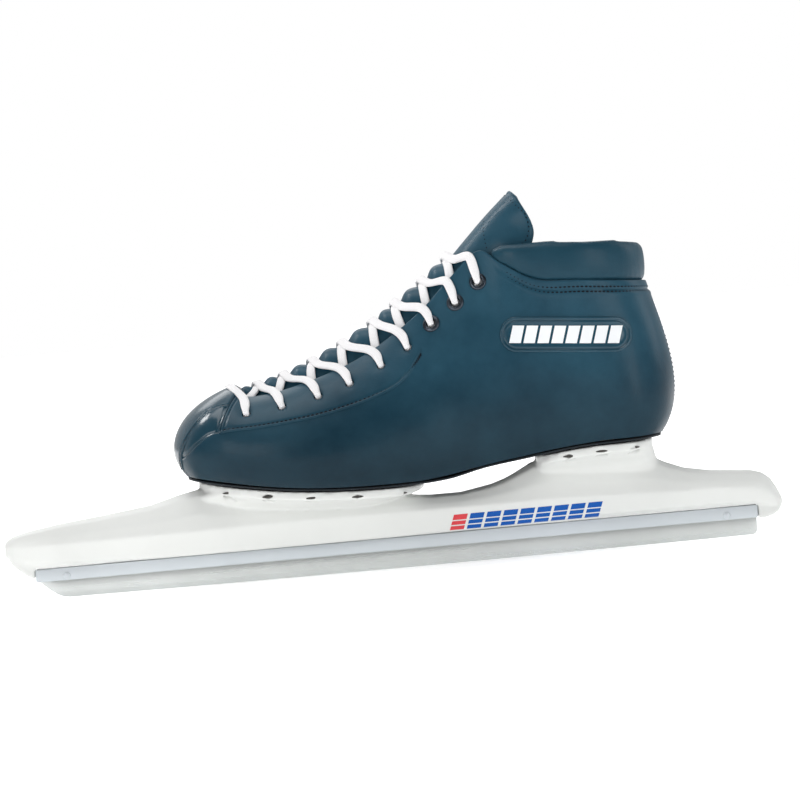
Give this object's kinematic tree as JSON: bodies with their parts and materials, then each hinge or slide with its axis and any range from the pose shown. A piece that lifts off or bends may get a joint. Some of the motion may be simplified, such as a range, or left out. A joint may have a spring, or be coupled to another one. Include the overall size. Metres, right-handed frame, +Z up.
{
  "type": "speed skate",
  "caption": "Long-blade speed skate: low laced leather boot with padded collar and tongue, screwed on a moulded chassis that holds a thin straight steel runner.",
  "frame": {"origin": "middle of the blade's running edge, on the ice", "axes": "+X along the blade towards the heel, +Y towards the inner side of the foot, +Z up from the ice"},
  "size_m": [0.434, 0.0969, 0.2042],
  "materials": {
    "chassis_nylon": "satin moulded nylon, off-white",
    "holder_alloy": "pale satin alloy",
    "runner_steel": "ground steel",
    "screw_steel": "plain steel",
    "boot_leather": "smooth navy leather, semi-gloss",
    "tongue_leather": "smooth navy leather",
    "sole_black": "dark sole edge",
    "inner_fabric": "grey lining and boards",
    "eyelet_metal": "dark plated brass",
    "lace_cotton": "white woven lace"
  },
  "bodies": {
    "skate": {"badge": "boot_leather", "blade": "runner_steel", "blade_holder": "holder_alloy", "blade_pin_back": "screw_steel", "blade_pin_front": "screw_steel", "chassis": "chassis_nylon", "collar": "boot_leather", "eyelet_inner_7": "eyelet_metal", "eyelet_inner_8": "eyelet_metal", "eyelet_inner_9": "eyelet_metal", "eyelet_outer_7": "eyelet_metal", "eyelet_outer_8": "eyelet_metal", "eyelet_outer_9": "eyelet_metal", "footbed": "inner_fabric", "heel_counter": "inner_fabric", "insole_board": "inner_fabric", "lace": "lace_cotton", "lining": "inner_fabric", "outsole": "sole_black", "quarter_inner": "boot_leather", "quarter_outer": "boot_leather", "screw_heel_inner_1": "screw_steel", "screw_heel_inner_2": "screw_steel", "screw_heel_inner_3": "screw_steel", "screw_heel_outer_1": "screw_steel", "screw_heel_outer_2": "screw_steel", "screw_heel_outer_3": "screw_steel", "screw_toe_inner_1": "screw_steel", "screw_toe_inner_2": "screw_steel", "screw_toe_inner_3": "screw_steel", "screw_toe_inner_4": "screw_steel", "screw_toe_inner_5": "screw_steel", "screw_toe_outer_1": "screw_steel", "screw_toe_outer_2": "screw_steel", "screw_toe_outer_3": "screw_steel", "screw_toe_outer_4": "screw_steel", "screw_toe_outer_5": "screw_steel", "toe_cap_inner": "boot_leather", "toe_cap_outer": "boot_leather", "toe_puff": "inner_fabric", "toe_strip": "boot_leather", "tongue_lower": "tongue_leather", "vamp_inner": "boot_leather", "vamp_outer": "boot_leather"},
    "tongue_top": {"tongue_flap": "tongue_leather"}
  },
  "joints": [
    {"name": "tongue_bend", "type": "hinge", "parent": "skate", "child": "tongue_top", "pos_m": [0.0495, 0, 0.172], "axis": [0, 1, 0], "range_deg": [-25, 5], "stiffness_Nm_per_rad": 0.3}
  ]
}
